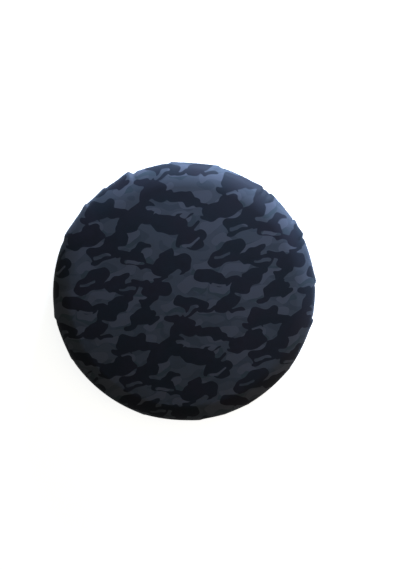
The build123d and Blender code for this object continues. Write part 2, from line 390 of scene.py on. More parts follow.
def ring_faces(rows, columns):
    """The quads of a closed grid, and those that join its last row to its first, as on a ring."""
    last, k = (rows - 1) * columns, np.arange(columns)
    joint = np.stack([last + k, k, (k + 1) % columns, last + (k + 1) % columns], -1)
    return np.concatenate([grid_faces(rows, columns, closed=True), joint])


def unit(vectors):
    """The vectors at a length of 1."""
    return vectors / np.linalg.norm(vectors, axis=1)[:, None]


print("helpers ready")

# %% [markdown]
# ## How taut cloth creases
#
# The printed top is pulled tight by the hem, so its face is smooth. The spare cloth has to go somewhere,
# and it goes into small tucks that lap over the rim, sharp on one side and sloping on the other, with
# stretches of rim between them that are pulled almost straight. One function says how far any point of the
# cloth stands off the plain outline. Top, sides, tape and stitches all ask it, so they crease together.

# %% Tucks, pleats and the pull between them
# degrees round, height in mm, half-width in degrees, reach up the face in mm, which side is the sharp one
TUCKS = [
    (114.0, 15.0, 3.2, 150, -1),
    (126.0, 4.5, 2.2, 90, -1),
    (136.0, 9.0, 2.0, 110, -1),
    (151.0, 5.0, 4.0, 120, 1),
    (188.0, 6.0, 2.0, 90, 1),
    (208.0, 4.0, 2.5, 70, 1),
    (251.0, 5.0, 2.0, 70, 1),
    (277.0, 7.0, 5.0, 70, 1),
    (289.0, 4.0, 1.6, 60, -1),
    (301.0, 4.0, 1.6, 60, 1),
    (326.0, 3.0, 2.0, 60, 1),
    (350.0, 9.0, 2.2, 100, 1),
    (8.0, 7.0, 2.4, 110, -1),
    (29.5, 9.0, 2.2, 150, -1),
    (35.5, 7.0, 1.6, 130, 1),
    (50.0, 6.0, 2.4, 190, 1),
    (56.0, 6.0, 2.0, 170, -1),
    (76.0, 5.0, 2.6, 100, -1),
    (95.0, 4.0, 2.2, 90, 1),
]
VALLEY_SHARE = 0.7  # a tuck's valley is this deep beside its ridge
RIM_PULL = 0.0055  # the rim between far tucks is pulled in by this
PUCKER_DEPTH = 0.0007
PLEATS = 150
BROAD_PLEAT, NARROW_PLEAT, UNDER_WAVE, PLEAT_SWAY = 0.0058, 0.0075, 0.0025, 0.0035
STRAP_DEGREES = (45.0, 135.0, 225.0, 315.0)
HELD_WIDTH = 2.6  # degrees of cloth that a strap patch holds flat
LOWEST = 0.0002


def degrees_from(at, degrees):
    """How far round angles lie from one angle, from -180 to 180 degrees."""
    return (degrees - at + 180) % 360 - 180


def creases(along, turn):
    """How far the cloth stands out from the outline, and how far it slides round, in metres."""
    lift = np.zeros(np.broadcast(along, turn).shape)
    slide = np.zeros_like(lift)
    degrees = np.degrees(turn)
    below = along - seam_at
    for at, height, width, reach, sharp in TUCKS:
        x = degrees_from(at, degrees) / width * sharp
        grip = ease(seam_at - reach / 1000, seam_at - 0.02, along) * (1 - 0.7 * ease(0.02, 0.14, below))
        ridge = np.where(x < 0, np.exp(-((x / 1.25) ** 2)), np.exp(-((x / 0.42) ** 2)))
        valley = np.exp(-(((x - 0.75) / 0.34) ** 2))
        lift += grip * height / 1000 * (ridge - VALLEY_SHARE * valley)
        slide += grip * height / 1000 * 0.5 * sharp * ridge
    # the rim is pulled straight from one tuck to the next
    pulled = np.zeros_like(lift)
    edges = sorted(t[0] for t in TUCKS)
    for a, b in zip(edges, edges[1:] + [edges[0] + 360]):
        x = ((degrees - a) % 360) / (b - a)
        pulled = np.where((x >= 0) & (x <= 1), 4 * x * (1 - x) * min(1.0, (b - a) / 22.0), pulled)
    lift -= RIM_PULL * pulled * ease(rim_at - 0.02, widest_at, along) * (1 - ease(0.1, 0.2, below))
    # fine puckers beside the seam, where the feed of the machine gathers the cloth
    pucker = wander(turn, 160, 3) * (0.6 + 0.4 * wander(turn, 37, 4))
    lift += PUCKER_DEPTH * pucker * np.exp(-((below / 0.022) ** 2))
    # the strap patches hold the cloth out flat
    held = sum(np.exp(-((degrees_from(at, degrees) / HELD_WIDTH) ** 2)) for at in STRAP_DEGREES)
    lift = lift * (1 - np.minimum(1, 1.7 * held) * ease(-0.03, -0.005, below))
    # pleats that begin under the rim and deepen towards the hem
    phase = turn + 0.012 * wander(turn, 41, 5)
    deep = ease(0.02, 0.20, below) * (1 - 0.55 * ease(hem_at - 0.016, hem_at, along))
    broad = 0.5 + 0.5 * np.sin(phase * PLEATS / 2.5 + 1.3 * wander(turn, 23, 6))
    swing = phase * PLEATS + 1.1 * wander(turn, 60, 7)
    narrow = 0.5 + 0.5 * np.sin(swing)
    fine = ease(0.10, 0.26, below)
    gathered = NARROW_PLEAT * narrow**1.3 + UNDER_WAVE * broad
    lift -= deep * (BROAD_PLEAT * (1 - fine) * broad + fine * gathered)
    slide += deep * fine * PLEAT_SWAY * np.cos(swing)
    return lift, slide


def draped(along, turn, proud=0.0):
    """Where the cloth lies: distances along it and angles round it become points."""
    along, turn = np.broadcast_arrays(np.asarray(along, float), np.asarray(turn, float))
    radius, height, slope = outline(along)
    lift, slide = creases(along, turn)
    lift = lift + proud
    round_to = turn + slide / np.maximum(radius, 0.05)
    out = radius + lift * np.sin(slope)
    up = height + lift * np.cos(slope)
    return np.stack([out * np.cos(round_to), out * np.sin(round_to), np.maximum(up, LOWEST)], -1)


print(len(TUCKS), "tucks over the rim and about", PLEATS, "pleats at the hem")

# %% [markdown]
# ## The printed cloth
#
# The print is a camouflage of near-black navy islands on slate greys. Every maker draws its own, so this
# one follows none of them: its strokes fall by chance, within the sizes that such prints have. A list of
# strokes placed by hand would give one maker's design instead. Each island is a wide brush stroke with
# thinner ones that leave it, given in hundredths of the repeat as a width and a run of points. The repeat
# is a square, turned a little against the cover, as bolts of printed cloth are. The distance to the nearest
# stroke is stored on the cloth, and the shader cuts it at the stroke's edge, which stays crisp at any zoom.
# The strokes are bent by a few long waves, as a hand would.

# %% Brush strokes of the repeat
GOLDEN_STEP = 61.8  # this share of the repeat from one stroke to the next spreads them without rows
JITTER = 3.0
TWIG_WIDTH = (1.2, 2.6)


def islands(dice, count, width, reach, twigs=0):
    """Strokes spread over the repeat, each as a width and a run of points, and the twigs that leave them."""
    strokes = []
    for number in range(count):
        middle = np.array([number * GOLDEN_STEP % 100, (number + 0.5) * 100 / count])
        middle = middle + dice.uniform(-JITTER, JITTER, 2)
        heading = dice.uniform(-0.4, 0.4)
        half = np.array([math.cos(heading), math.sin(heading)]) * dice.uniform(*reach) / 2
        sway = np.array([0, dice.uniform(-2, 2)])
        strokes.append((dice.uniform(*width), [middle - half, middle + sway, middle + half]))
        for _ in range(twigs):
            root = middle + half * dice.uniform(-1, 1)
            side = dice.choice((-1, 1))
            way = dice.choice((-1, 1))
            bend = root + (way * dice.uniform(1, 5), side * dice.uniform(4, 7))
            tip = bend + (way * dice.uniform(5, 10), side * dice.uniform(-1, 3))
            strokes.append((dice.uniform(*TWIG_WIDTH), [root, bend, tip]))
    return strokes


dice = np.random.default_rng(6)
DARK_STROKES = islands(dice, 19, (3.2, 6.4), (8, 18), twigs=3)
GAP_STROKES = islands(dice, 16, (0.8, 1.8), (8, 15))
SHADE_STROKES = islands(dice, 24, (2.0, 4.4), (8, 15))
PALE_STROKES = islands(dice, 25, (2.2, 4.8), (8, 18))
REPEAT = cover_radius
REPEAT_TURN = math.radians(12)
MELT = 2.2  # how sharply two strokes that touch melt into one


def painted(place, strokes):
    """How far inside the nearest brush stroke each place is, in metres; outside is negative."""
    c, s = math.cos(REPEAT_TURN), math.sin(REPEAT_TURN)
    across = (place[:, 0] * c + place[:, 1] * s) / REPEAT * 100 + 50
    down = (place[:, 0] * s - place[:, 1] * c) / REPEAT * 100 + 50
    lap = 2 * math.pi / 100
    across, down = (
        across + 0.9 * np.sin(lap * 8 * down + 2) + 0.5 * np.sin(lap * (5 * across + 6 * down)),
        down + 0.7 * np.sin(lap * 7 * across + 1) + 0.5 * np.sin(lap * (6 * across - 5 * down) + 4),
    )
    inside = np.full(len(place), -100.0)
    for width, points in strokes:
        middle = np.mean(points, axis=0)
        x = (across - middle[0] + 50) % 100 - 50 + middle[0]
        y = (down - middle[1] + 50) % 100 - 50 + middle[1]
        for (ax, ay), (bx, by) in zip(points, points[1:]):
            span = (bx - ax) ** 2 + (by - ay) ** 2
            t = np.clip(((x - ax) * (bx - ax) + (y - ay) * (by - ay)) / span, 0, 1)
            gap = width - np.hypot(x - ax - t * (bx - ax), y - ay - t * (by - ay))
            high = np.maximum(inside, gap)
            inside = high + np.log1p(np.exp(-np.abs(inside - gap) * MELT)) / MELT
    return inside * REPEAT / 100


def print_values(place):
    """The three painted layers of the print at places on the flat cloth."""
    return {
        "print_dark": np.minimum(painted(place, DARK_STROKES), -painted(place, GAP_STROKES)),
        "print_shade": painted(place, SHADE_STROKES),
        "print_pale": painted(place, PALE_STROKES),
    }


stroke_count = len(DARK_STROKES) + len(SHADE_STROKES) + len(PALE_STROKES)
print(stroke_count, "brush strokes in a", round(REPEAT, 3), "m repeat")


# %% The printed cloth's finish
EDGE_SHARPNESS = 550  # per metre: the print's edges fade over about 2 mm
LINE_SHARPNESS = 700  # per metre: the thin line round the pale shapes is under 3 mm wide
KNIT_ACROSS, KNIT_DOWN = 0.0016, 0.0022


def printed_cloth():
    """Stretch polyester, printed, with a fine knit and a soft sheen."""
    cloth = Finish("printed_cloth", specular_ior_level=0.06, sheen_weight=0.14, sheen_roughness=0.35)
    cloth.set("Sheen Tint", (0.75, 0.85, 1.0))
    place, x, y = cloth.flat_place()

    def depth(name):
        return cloth.node("ShaderNodeAttribute", {"attribute_name": name}, out=2)

    def layer(name):
        return (depth(name) * EDGE_SHARPNESS).math("ADD", 0.5, clamp=True)

    dark, shade, pale = layer("print_dark"), layer("print_shade"), layer("print_pale")
    stretched = cloth.node("ShaderNodeVectorMath", {"operation": "MULTIPLY"}, {0: place, 1: (0.55, 1.0, 1.0)})
    patch = ((cloth.grain(stretched, 14, detail=0.0) - 0.56) * 70).math("ADD", 0.5, clamp=True)
    line = (1 - (depth("print_pale") * LINE_SHARPNESS).math("ABSOLUTE")).math("MAXIMUM", 0.0)
    slate = cloth.blended(cloth.grain(place, 3.0), (0.0330, 0.0400, 0.0500), (0.0400, 0.0420, 0.0530))
    slate = cloth.blended(shade, slate, (0.0270, 0.0350, 0.0420))
    slate = cloth.blended(patch * 0.55, slate, (0.0250, 0.0300, 0.0385))
    slate = cloth.blended(pale, slate, (0.0460, 0.0490, 0.0620))
    slate = cloth.blended(line * 0.45, slate, (0.0200, 0.0230, 0.0310))
    earth = ((cloth.grain(place, 3.2) - 0.5) * 4).math("ADD", 0.5, clamp=True)
    navy = cloth.blended(earth, (0.0088, 0.0113, 0.0160), (0.0116, 0.0112, 0.0166))
    cloth.set("Base Color", cloth.blended(dark, slate, navy))
    knit = cloth.ripple(x, KNIT_ACROSS) * cloth.ripple(y, KNIT_DOWN)
    cloth.set("Roughness", 0.58 + cloth.grain(place, 9, detail=3) * 0.12)
    soft = cloth.bumped(cloth.grain(place, 6, detail=2), 0.25, 0.004)
    cloth.set("Normal", cloth.bumped(knit, 0.25, 0.0004, under=soft))
    return cloth


cloth_finish = printed_cloth()
print("printed cloth:", len(cloth_finish.nodes), "nodes")

# %% [markdown]
# ## The top of the jacket
#
# A disc could be meshed with rings and spokes, but spokes crowd in the middle and spread at the rim, where
# the creases need points most. Here a square grid is pulled round instead: each square ring becomes a
# circle, so all its quads are of about one size.

# %% A disc from a square grid
TOP_RINGS = 200
SWELL_HEIGHT = 0.0030  # the air below makes the face a little uneven


def disc_grid(rings):
    """The ring fraction and the angle of each point of a square grid pulled round, and its quads."""
    j, i = np.meshgrid(np.arange(-rings, rings + 1), np.arange(-rings, rings + 1), indexing="ij")
    ring = np.maximum(np.abs(i), np.abs(j))
    safe = np.maximum(ring, 1)
    right, up, left = (i == ring), (j == ring), (i == -ring)
    turn = np.select([right, up, left], [j / safe, 2 - i / safe, 4 - j / safe], 6 + i / safe)
    return ring.ravel() / rings, turn.ravel() * math.pi / 4, grid_faces(2 * rings + 1, 2 * rings + 1)


fraction, turn, faces = disc_grid(TOP_RINGS)
along = fraction * seam_at
points = draped(along, turn)
swell = np.array([noise.noise((p[0] * 2.2, p[1] * 2.2, 0.7)) for p in points])
points[:, 2] += SWELL_HEIGHT * swell * (1 - ease(shoulder_at * 0.8, rim_at, along))
flat_place = np.stack([along * np.cos(turn), along * np.sin(turn)], -1)
values = print_values(flat_place)
top_cloth = mesh_piece("top_cloth", points, faces[:, ::-1], cloth_finish, flat_place, values)
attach(top_cloth, "lid")
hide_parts("top_panel")
2 * seam_at
2 * seam_at
math.pi * seam_at**2
widest = np.hypot(points[:, 0], points[:, 1]).max()
print("top cloth:", len(points), "points, widest", round(float(widest), 4))

# %% [markdown]
# ## The gathered sides
#
# Each side panel is cut as a straight strip, a quarter of the rim long. Its upper edge fits the rim, and its
# lower edge is far too long for the hem, so the elastic draws it into pleats. Where the lid lies on
# something, the pleats are pressed flat from below, so they may only rise, never hang.

# %% Four side panels
SIDE_ROWS = 80
TUCKED_IN = 0.005  # the cloth runs on inside the hem
BOLT_STEP = (0.31, 0.17)  # each panel is cut from another place on the bolt
lowest = math.inf
for i in range(4):
    columns = 2 * TOP_RINGS + 1
    start = math.pi / 2 * i
    side_turn = np.linspace(start, start + math.pi / 2, columns)
    side_along = seam_at + (hem_at + TUCKED_IN - seam_at) * np.linspace(0, 1, SIDE_ROWS) ** 0.9
    a, t = np.meshgrid(side_along, side_turn, indexing="ij")
    points = draped(a, t).reshape(-1, 3)
    flat_place = np.stack([t.ravel() * cover_radius + BOLT_STEP[0] * i, -a.ravel() + BOLT_STEP[1] * i], -1)
    faces = grid_faces(SIDE_ROWS, columns)
    values = print_values(flat_place)
    piece = mesh_piece(f"side_cloth_{i + 1}", points, faces, cloth_finish, flat_place, values)
    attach(piece, "lid")
    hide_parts(f"side_panel_{i + 1}")
    hem_at - seam_at
    lowest = min(lowest, float(points[:, 2].min()))
print("lowest point of the pleats:", round(lowest, 5))

# %% [markdown]
# ## Tapes and stitches
#
# Seams on such a jacket are covered by a narrow woven tape, sewn down by two rows of stitches. A tape is a
# ribbon pushed along a path, so one function makes every ribbon here, the webbing too. A stitch is a short
# thread that dives in at both ends, and thousands of them are cheap when they share one mesh.


# %% Woven tape, webbing and thread
def woven(name, colour, pitch, depth):
    """Narrow woven goods: ribs across and threads along, from the ribbon's own width and length, with painted
    shade in the weave's hollows and a painted highlight on its raised threads.
    """
    tape = Finish(name, roughness=0.8, specular_ior_level=0.25, sheen_weight=0.1)
    place, x, y = tape.flat_place()
    slant = tape.ripple(x + y, pitch) * tape.ripple(x - y, pitch)
    ribs = tape.ripple(y, pitch * 2.2)
    wear = tape.grain(place, 60, detail=3)
    painted_shade_and_wear = tuple(c * 0.6 for c in colour)
    painted_highlight_and_wear = tuple(min(1.0, c * 1.35) for c in colour)
    # the colour follows the weave's height: painted shade in its hollows and a painted highlight on its
    # raised threads, mottled by the wear noise as well
    tape.set("Base Color", tape.blended(slant * 0.35 + 0.5 + (wear - 0.5) * 0.5, painted_shade_and_wear, painted_highlight_and_wear))
    tape.set("Normal", tape.bumped(slant + ribs * 0.4, 0.5, depth))
    return tape


binding_finish = woven("binding_tape", (0.013, 0.014, 0.019), 0.0012, depth=0.0003)
webbing_finish = woven("webbing", (0.014, 0.014, 0.016), 0.0016, depth=0.0005)
label_finish = woven("label_cloth", (0.72, 0.72, 0.69), 0.0007, depth=0.00015)

thread_finish = Finish("thread", roughness=0.5, specular_ior_level=0.4)
twist = thread_finish.grain(thread_finish.object_place(), 900)
thread_finish.set("Base Color", thread_finish.blended(twist, (0.010, 0.011, 0.015), (0.030, 0.032, 0.040)))


def ribbon(name, middle, across, out, width, thickness, finish, closed=False):
    """A flat ribbon with rounded edges: along a line of points, each with a side and an outward direction."""
    middle, across, out = (np.asarray(v, float) for v in (middle, across, out))
    rounds = [(-1, 0), (-0.985, 0.75), (-0.93, 1), (-0.5, 1), (0, 1), (0.5, 1), (0.93, 1), (0.985, 0.75)]
    rounds += [(-u, -v) for u, v in rounds]
    section = np.array(rounds) * (width / 2, thickness / 2)
    points = middle[:, None] + section[None, :, :1] * across[:, None] + section[None, :, 1:] * out[:, None]
    steps = np.linalg.norm(np.diff(middle, axis=0), axis=1)
    length = np.concatenate([[0], np.cumsum(steps)])
    flat = np.stack(np.broadcast_arrays(section[None, :, 0], length[:, None]), -1).reshape(-1, 2)
    rows, columns = len(middle), len(rounds)
    faces = ring_faces(rows, columns) if closed else grid_faces(rows, columns, closed=True)
    piece = mesh_piece(name, points.reshape(-1, 3), faces, finish, flat)
    close_up(piece)
    return piece


def close_up(piece, reach=math.inf):
    """Fills a piece's open ends, within reach of the lid's axis, and turns its faces outwards."""
    work = bmesh.new()
    work.from_mesh(piece.data)
    open_edges = [e for e in work.edges if e.is_boundary and e.verts[0].co.xy.length < reach]
    bmesh.ops.holes_fill(work, edges=open_edges, sides=0)
    bmesh.ops.recalc_face_normals(work, faces=work.faces)
    work.to_mesh(piece.data)
    work.free()


def along_line(at, far, values):
    """The values of a line's points, at a distance along it."""
    return np.array([np.interp(at, far, values[:, k]) for k in range(3)])


THREAD = 0.0007
STITCH_ARCH = [(-0.5, -0.5), (-0.34, 0.35), (0.0, 0.6), (0.34, 0.35), (0.5, -0.5)]
THREAD_SIDES = 5


def stitch_rows(name, lines, length=0.0040, gap=0.0016):
    """Thread laid in stitches along lines, each given as its points and its outward directions."""
    points, faces = [], []
    for line, out in lines:
        line, out = np.asarray(line, float), np.asarray(out, float)
        steps = np.linalg.norm(np.diff(line, axis=0), axis=1)
        far = np.concatenate([[0], np.cumsum(steps)])
        count = max(1, int(far[-1] / (length + gap)))
        centres = (np.arange(count) + 0.5) * far[-1] / count
        for centre in centres:
            place, up = along_line(centre, far, line), along_line(centre, far, out)
            ahead, behind = (along_line(centre + step, far, line) for step in (0.002, -0.002))
            along_it = (ahead - behind) / max(1e-9, np.linalg.norm(ahead - behind))
            side = np.cross(along_it, up)
            first = len(points)
            for step, rise in STITCH_ARCH:
                for k in range(THREAD_SIDES):
                    a = 2 * math.pi * k / THREAD_SIDES
                    width = THREAD / 2 * math.cos(a)
                    high = THREAD * (rise + 0.45 * math.sin(a))
                    points.append(place + along_it * (step * length) + side * width + up * high)
            for ring in range(len(STITCH_ARCH) - 1):
                start = first + ring * THREAD_SIDES
                for k in range(THREAD_SIDES):
                    a, b = start + k, start + (k + 1) % THREAD_SIDES
                    faces.append((a, b, b + THREAD_SIDES, a + THREAD_SIDES))
    threads = mesh_piece(name, points, faces, thread_finish)
    close_up(threads)
    return threads


def around_axis(turns, radius, height):
    """Points at angles round the lid's axis."""
    return np.stack(np.broadcast_arrays(radius * np.cos(turns), radius * np.sin(turns), height), -1)


def rim_line(along, turns, proud):
    """Points on the draped cloth at one distance along it, with outward and across directions."""
    points = draped(np.full_like(turns, along), turns, proud)
    _, _, slope = outline(np.array([along]))
    rise, level = math.cos(slope[0]), math.sin(slope[0])
    outward, upward = around_axis(turns, 1.0, 0.0), np.array([0.0, 0.0, 1.0])
    return points, outward * level + upward * rise, outward * rise - upward * level


print("tape, webbing, label and thread finishes")

# %% [markdown]
# ## The rim seam
#
# Where the top meets the sides, a tape runs all the way round over the seam, a little below the widest line.
# It follows every tuck, so it is laid on the draped cloth and not on a plain circle.

# %% Rim tape and its two rows of stitches
RIM_TAPE_WIDTH, RIM_TAPE_THICKNESS = 0.0085, 0.0012
around = np.arange(0, 2 * math.pi, 2 * math.pi / (8 * TOP_RINGS))
middle, out, across = rim_line(seam_at, around, 0.0007)
rim_tape = ribbon(
    "rim_tape", middle, across, out, RIM_TAPE_WIDTH, RIM_TAPE_THICKNESS, binding_finish, closed=True
)
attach(rim_tape, "lid")
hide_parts("rim_seam")

closed_round = np.append(around, 2 * math.pi)
rows = [rim_line(seam_at + shift, closed_round, 0.0013)[:2] for shift in (-0.0027, 0.0027)]
rim_stitches = stitch_rows("rim_stitches", rows)
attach(rim_stitches, "lid")

# %% [markdown]
# ## Tapes on the side seams
#
# The four side panels meet at four short seams, each under a tape that runs from the rim tape down to where
# the pleats begin to bunch.

# %% Four side tapes
def side_line(down, angle, proud):
    """Points down the draped side at one angle, with across and outward directions."""
    middle = draped(down, angle, proud)
    across = draped(down, angle - 0.004, proud) - draped(down, angle + 0.004, proud)
    across = unit(across)
    out = unit(np.cross(across, np.gradient(middle, axis=0)))
    return middle, across, out


SIDE_TAPE_WIDTH, SIDE_TAPE_THICKNESS = 0.022, 0.0011
tape_stitches = []
for i in range(4):
    down = np.linspace(seam_at + 0.0045, flat_at - 0.035, 40)
    middle, across, out = side_line(down, math.pi / 2 * i, 0.0006)
    side_tape = ribbon(
        f"side_tape_{i + 1}", middle, across, out, SIDE_TAPE_WIDTH, SIDE_TAPE_THICKNESS, binding_finish
    )
    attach(side_tape, "lid")
    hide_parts("side_join_tapes")
    for side in (-1, 1):
        tape_stitches.append((middle + across * side * 0.0085 + out * 0.0006, out))
side_stitches = stitch_rows("side_stitches", tape_stitches)
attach(side_stitches, "lid")

# %% [markdown]
# ## The hem
#
# The hem is the pleats' lower edge folded over a flat elastic. Drawn in, it is a soft puffed tube, crossed
# by short gathers that are deepest at its inner edge. The elastic itself stays hidden inside.

# %% The gathered hem
HEM_WIDTH = 0.024
HEM_SIDES = 20
HEM_SQUARENESS = 0.42  # 1 is round, and less is squarer
HEM_LOWEST = 0.0001
GATHERS = 400
hem_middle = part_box("hem_casing")[1][2] / 2
hem_inner = HEM_RADIUS - HEM_WIDTH
hem_columns = 12 * TOP_RINGS
hem_turn = np.linspace(0, 2 * math.pi, hem_columns, endpoint=False)
hem_section = []
for k in range(HEM_SIDES):
    a = 2 * math.pi * k / HEM_SIDES
    hem_section.append([abs(v) ** HEM_SQUARENESS * math.copysign(1, v) for v in (math.cos(a), math.sin(a))])
gather = np.sin(hem_turn * GATHERS + 1.6 * wander(hem_turn, 70, 11))
gather = gather * (0.65 + 0.35 * wander(hem_turn, 71, 12))
hem_points = np.zeros((len(hem_section), hem_columns, 3))
for k, (c, s) in enumerate(hem_section):
    inward = 0.5 - 0.5 * c
    radius = HEM_RADIUS - HEM_WIDTH / 2 + c * 0.0118 + 0.0008 * gather * (0.3 + inward)
    height = hem_middle + s * (0.0033 - 0.0004 * (1 - gather))
    hem_points[k] = around_axis(hem_turn, radius, height)
hem_points[..., 2] = np.maximum(hem_points[..., 2], HEM_LOWEST)
hem_faces = ring_faces(len(hem_section), hem_columns)
hem_lengths = np.linspace(0, 0.06, len(hem_section))
hem_flat = np.broadcast_arrays(hem_turn[None, :] * cover_radius, hem_lengths[:, None])
hem_flat = np.stack(hem_flat, -1).reshape(-1, 2)
hem_roll = mesh_piece("hem_roll", hem_points, hem_faces[:, ::-1], binding_finish, hem_flat)
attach(hem_roll, "lid")
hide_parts("hem_casing")
under = around_axis(closed_round, HEM_RADIUS - 0.0035, 0.0009)
down_always = np.broadcast_to(np.array([0.0, 0.0, -1.0]), under.shape)
hem_stitches = stitch_rows("hem_stitches", [(under, down_always)])
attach(hem_stitches, "lid")
print("hem gathers:", GATHERS)

# %% [markdown]
# ## The air core
#
# Inside the jacket is a flat vinyl bladder. Webs welded between its two sheets hold it flat, so its
# underside dips at each ring of welds and swells between them, with small puckers where the tight sheet
# turns into the weld. It is one body, open only where the valve sits. Its top and sides lie just inside the
# jacket.


# %% The vinyl's finish
def soft_vinyl():
    """Grey plasticised vinyl with a fine leather grain, flatter and glossier on its weld lines."""
    vinyl = Finish("soft_vinyl", specular_ior_level=0.5, coat_roughness=0.3)
    place = vinyl.object_place()
    weld = vinyl.node("ShaderNodeAttribute", {"attribute_name": "weld"}, out=2)
    cells = vinyl.node("ShaderNodeTexVoronoi", {"feature": "SMOOTH_F1"}, {"Vector": place, "Scale": 420.0})
    cloudy = vinyl.grain(place, 5, detail=4)
    grey = vinyl.blended(cloudy, (0.33, 0.345, 0.36), (0.40, 0.41, 0.42))
    vinyl.set("Base Color", vinyl.blended(weld * 0.5, grey, (0.27, 0.28, 0.295)))
    vinyl.set("Roughness", 0.46 + cloudy * 0.12 - weld * 0.14)
    grain = cells * (1 - weld)
    vinyl.set("Normal", vinyl.bumped(grain, 0.35, 0.0004, under=vinyl.bumped(cloudy, 0.4, 0.003)))
    return vinyl


vinyl_finish = soft_vinyl()

# %% Its underside, with welds and puckers
VALVE = np.array([0.0, -0.510])
VALVE_HOLE = 0.022
VALVE_WELD = 0.036  # the sheet is welded flat to the valve as far as this, and swells freely from VALVE_FREE
VALVE_FREE = 0.075
WELD_RINGS = (0.200, 0.400, 0.620)
UNDER_EDGE = 0.705
SHEET_HEIGHT = 0.0138
SWELL_DEPTH = 0.0082
CORE_INSET = 0.014
CORE_HOLE = 0.004  # the grids stop short of the axis, and the small holes are filled
core_columns = 960
core_turn = np.linspace(0, 2 * math.pi, core_columns, endpoint=False)


def underside(radius, turn):
    """Height of the core's underside, and how much weld there is, at a radius and an angle."""
    held = 0.5 + 0.5 * np.tanh((np.abs(((turn / (math.pi / 2)) % 1) - 0.5) * 90 - 41.5) * -0.8)
    swell = np.zeros_like(radius)
    weld = np.zeros_like(radius)
    stops = (0.0, *WELD_RINGS, UNDER_EDGE)
    for a, b in zip(stops, stops[1:]):
        x = (radius - a) / (b - a)
        inside = (x >= 0) & (x <= 1)
        bow = np.sqrt(np.clip(4 * x * (1 - x), 0, 1)) if a > 0 else np.sqrt(np.clip(1 - x**2, 0, 1))
        swell = np.where(inside, bow, swell)
    for ring in WELD_RINGS:
        near = np.abs(radius - ring)
        weld = np.maximum(weld, held * (1 - ease(0.004, 0.006, near)))
        loose = np.exp(-((near / 0.045) ** 2)) * (1 - held)
        swell = np.maximum(swell, loose * 0.8)
        beside = np.exp(-(((near - 0.014) / 0.016) ** 2))
        ripples = wander(turn, int(ring * 215), int(ring * 1000)) * beside * held
        swell = swell + 0.16 * ripples * (near > 0.005)
    flat = np.hypot(radius * np.cos(turn) - VALVE[0], radius * np.sin(turn) - VALVE[1])
    swell = swell * ease(VALVE_WELD, VALVE_FREE, flat)
    weld = np.maximum(weld, 1 - ease(VALVE_WELD, VALVE_WELD + 0.004, flat))
    return SHEET_HEIGHT - SWELL_DEPTH * swell, weld


under_radius = np.linspace(CORE_HOLE, UNDER_EDGE - 0.002, 150)
r_grid, t_grid = np.meshgrid(under_radius, core_turn, indexing="ij")
under_height, under_weld = underside(r_grid, t_grid)
under_points = around_axis(t_grid, r_grid, under_height)

# %% Its sides and top, and the whole core
below_rim, over_rim = np.linspace(hem_at + 0.001, flat_at, 12), np.linspace(flat_at, shoulder_at, 26)
side_along = np.concatenate([below_rim, over_rim[1:]])
radius, height, slope = outline(side_along)
side_radius = radius - CORE_INSET * np.sin(slope)
side_height = height - CORE_INSET * np.cos(slope)
top_radius = np.linspace(side_radius[-1], CORE_HOLE, 24)[1:]
side_radius = np.concatenate([side_radius, top_radius])
side_height = np.concatenate([side_height, np.full_like(top_radius, side_height[-1] + 0.004)])
r_grid, t_grid = np.meshgrid(side_radius, core_turn, indexing="ij")
side_points = around_axis(t_grid, r_grid, side_height[:, None])
core_points = np.concatenate([under_points, side_points])
core_weld = np.concatenate([under_weld, np.zeros_like(r_grid)])
core_faces = grid_faces(len(core_points), core_columns, closed=True)
centres = core_points.reshape(-1, 3)[core_faces].mean(axis=1)
by_valve = np.hypot(centres[:, 0] - VALVE[0], centres[:, 1] - VALVE[1]) < VALVE_HOLE
core_faces = core_faces[~(by_valve & (centres[:, 2] < 0.05))]
air_core = mesh_piece("air_core", core_points, core_faces, vinyl_finish, values={"weld": core_weld.ravel()})
close_up(air_core, reach=0.01)
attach(air_core, "lid")
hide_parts("air_top_sheet", "air_bottom_sheet")
print("core:", len(core_points) * core_columns, "points, lowest", round(float(core_points[..., 2].min()), 4))

# %% The welded tape on the core's rim
middle = around_axis(core_turn, cover_radius - CORE_INSET + 0.0006, rim_height)
out = around_axis(core_turn, 1.0, 0.0)
upward = np.broadcast_to(np.array([0.0, 0.0, 1.0]), middle.shape)
core_tape = ribbon("core_rim_tape", middle, upward, out, 0.024, 0.001, vinyl_finish, closed=True)
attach(core_tape, "lid")
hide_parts("air_rim_tape")

# %% [markdown]
# ## Valve, hidden webs and the elastic
#
# The valve is moulded, and its shape in the fixed model is right, so it only needs its finish: slightly
# cloudy plastic for the base and cap, black rubber for the flap and seal, dull steel for the pin. The same
# goes for the tie webs and the elastic, which nobody sees until the jacket comes off.


# %% Moulded and rubber finishes
SPARK_GRAIN = 1800.0  # grains per metre


def moulded(name, colour, roughness):
    """Injection-moulded plastic: a fine spark grain, cloudy patches, and edges rubbed paler."""
    plastic = Finish(name, specular_ior_level=0.45)
    place = plastic.object_place()
    patch = plastic.grain(place, 55, detail=4)
    worn = plastic.node("ShaderNodeNewGeometry", out=7).math("SUBTRACT", 0.52) * 6
    rubbed = worn.math("ADD", 0.0, clamp=True)
    shade = plastic.blended(patch, tuple(c * 0.8 for c in colour), tuple(c * 1.15 for c in colour))
    edge = tuple(min(1, c * 1.5 + 0.02) for c in colour)
    plastic.set("Base Color", plastic.blended(rubbed * 0.5, shade, edge))
    plastic.set("Roughness", roughness + (patch - 0.5) * 0.16)
    plastic.set("Normal", plastic.bumped(plastic.grain(place, SPARK_GRAIN, detail=1), 0.3, 0.0001))
    return plastic


buckle_finish = moulded("buckle_plastic", (0.016, 0.016, 0.018), 0.42)
valve_finish = moulded("valve_plastic", (0.34, 0.355, 0.37), 0.38)
rubber_finish = moulded("black_rubber", (0.018, 0.018, 0.018), 0.62)
elastic_finish = moulded("elastic_rubber", (0.5, 0.5, 0.48), 0.7)
pin_finish = Finish("pin_steel", metallic=1.0, roughness=0.3)
pin_grain = pin_finish.grain(pin_finish.object_place(), 700)
pin_finish.set("Base Color", pin_finish.blended(pin_grain, (0.42, 0.42, 0.43), (0.62, 0.62, 0.64)))


